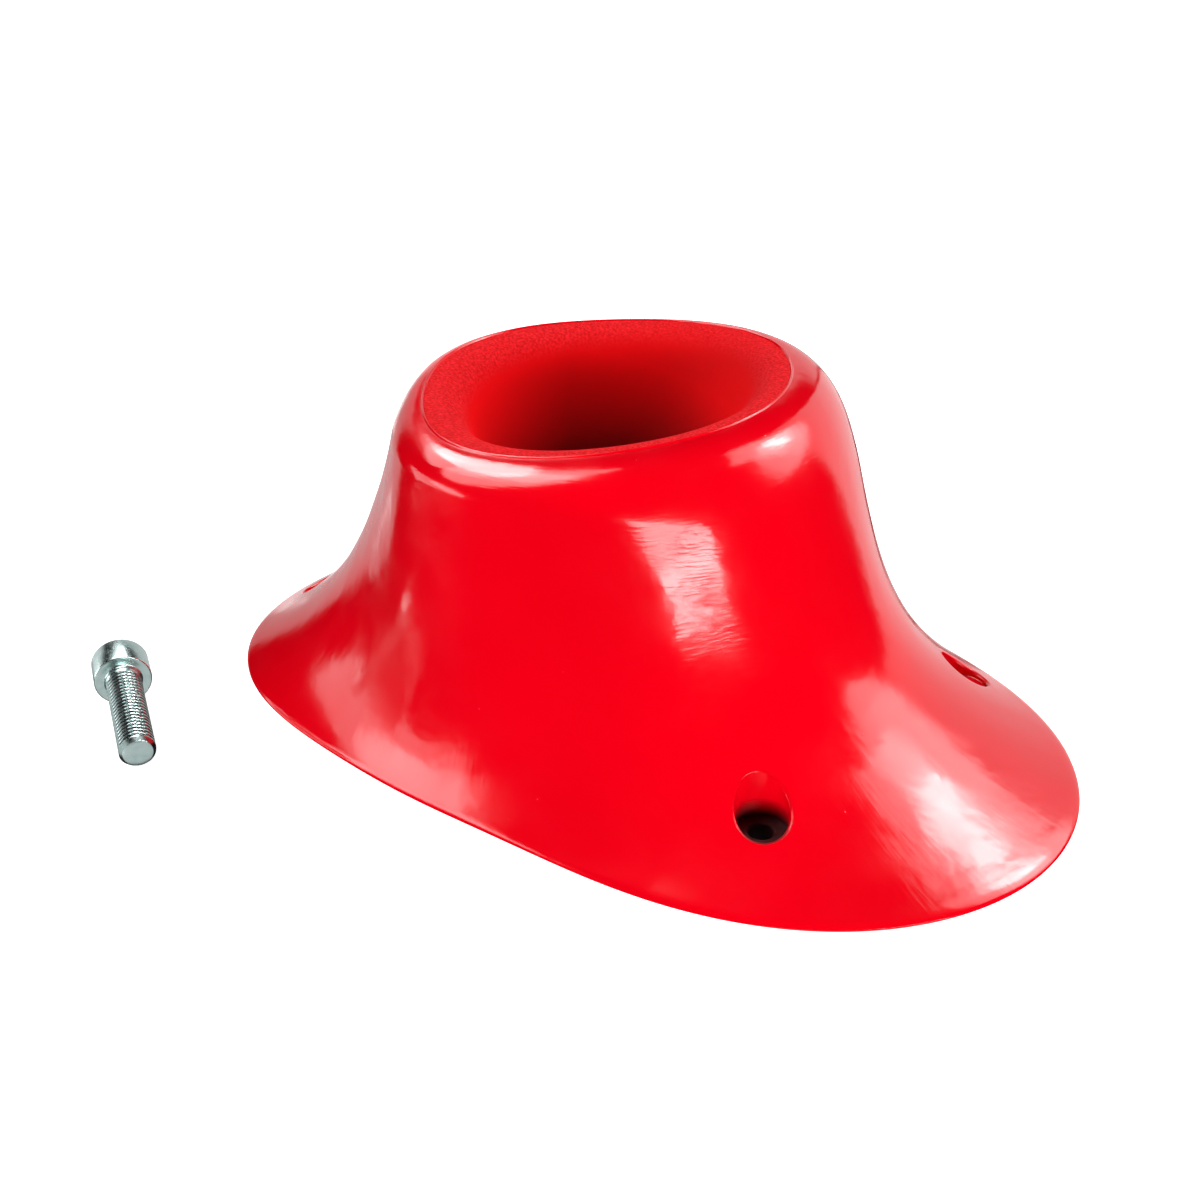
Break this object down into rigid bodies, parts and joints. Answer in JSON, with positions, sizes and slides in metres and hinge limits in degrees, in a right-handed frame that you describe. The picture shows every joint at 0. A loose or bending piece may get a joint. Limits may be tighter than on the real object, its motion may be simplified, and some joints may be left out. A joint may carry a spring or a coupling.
{
  "type": "climbing hold",
  "caption": "Flared, volcano-shaped climbing hold with a glossy outside, a textured crater and a loose hex socket bolt beside it.",
  "frame": {"origin": "where the axis of the bolt hole meets the wall plane", "axes": "+Z off the wall along the bolt hole, +X along the hold towards its longer nose"},
  "size_m": [0.2533, 0.2085, 0.0922],
  "materials": {
    "gloss_red": "high gloss red polyurethane",
    "texture_red": "sandy matt red polyurethane",
    "washer_steel": "plain zinc-plated steel",
    "bolt_zinc": "bright zinc-plated steel"
  },
  "bodies": {
    "hold": {"outer_shell": "gloss_red", "crater_cup": "texture_red", "bolt_washer": "washer_steel"},
    "bolt": {"wall_bolt": "bolt_zinc"}
  },
  "joints": [
    {"name": "bolt_lift", "type": "slide", "parent": "hold", "child": "bolt", "axis": [0, 0, 1], "range_m": [0, 0.1]}
  ]
}
